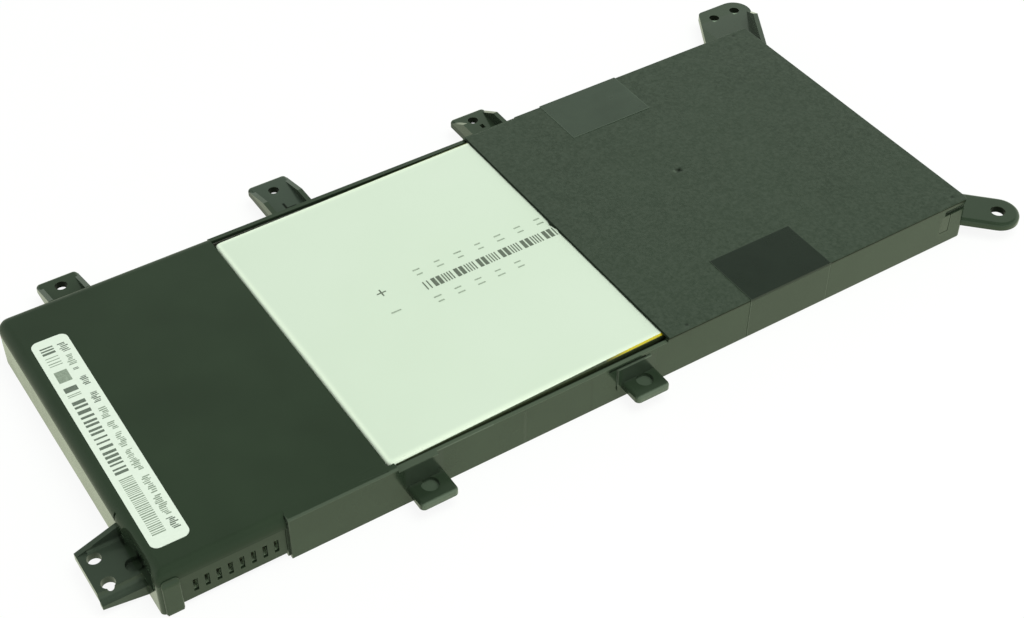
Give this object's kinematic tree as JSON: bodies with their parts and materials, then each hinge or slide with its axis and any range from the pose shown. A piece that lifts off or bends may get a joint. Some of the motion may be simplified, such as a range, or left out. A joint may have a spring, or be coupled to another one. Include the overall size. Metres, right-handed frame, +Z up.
{
  "type": "laptop battery",
  "caption": "Flat rectangular laptop battery in a black tray with screw lugs and ears, a slotted plug face, an open pouch cell and a covered board bay.",
  "frame": {"origin": "centre of the case's flat underside, without its lugs and ears", "axes": "+X along the case's length, away from the plug and board bay; +Y away from the plug face; +Z up through the case's thickness"},
  "size_m": [0.2339, 0.1122, 0.0117],
  "materials": {
    "tray_plastic": "satin moulded black",
    "cover_plastic": "satin moulded black",
    "black_film": "fine grained black",
    "black_tape": "smooth black",
    "pouch": "satin silver-white laminate",
    "nickel": "nickel plate",
    "amber_tape": "translucent amber",
    "board_laminate": "green solder mask",
    "plug_plastic": "fine matt black",
    "contact_metal": "gold plate",
    "chip_resin": "black moulding resin",
    "fuse_ceramic": "white",
    "capacitor_ceramic": "tan",
    "insulating_film": "thin black film",
    "adhesive": "white carrier",
    "foam": "closed-cell foam",
    "label_paper": "coated white"
  },
  "bodies": {
    "root": {"tray": "tray_plastic", "board_cover": "cover_plastic", "film": "black_film", "cell_left": "pouch", "cell_right": "pouch", "cell_left_tab_positive": "nickel", "cell_left_tab_negative": "nickel", "cell_right_tab_positive": "nickel", "cell_right_tab_negative": "nickel", "link_strip": "nickel", "return_strip": "nickel", "edge_tape_front": "amber_tape", "edge_tape_back": "amber_tape", "circuit_board": "board_laminate", "connector_housing": "plug_plastic", "gauge_chip": "chip_resin", "protection_chip": "chip_resin", "mosfet_1": "chip_resin", "mosfet_2": "chip_resin", "fuse": "fuse_ceramic", "sense_resistor": "nickel", "thermistor": "chip_resin", "capacitor_1": "capacitor_ceramic", "capacitor_2": "capacitor_ceramic", "capacitor_3": "capacitor_ceramic", "capacitor_4": "capacitor_ceramic", "insulating_sheet": "insulating_film", "cell_adhesive_left": "adhesive", "cell_adhesive_right": "adhesive", "end_foam": "foam", "front_tape": "black_tape", "back_tape": "black_tape", "label": "label_paper", "contact_1": "contact_metal", "contact_2": "contact_metal", "contact_3": "contact_metal", "contact_4": "contact_metal", "contact_5": "contact_metal", "contact_6": "contact_metal", "contact_7": "contact_metal", "contact_8": "contact_metal"}
  },
  "joints": []
}
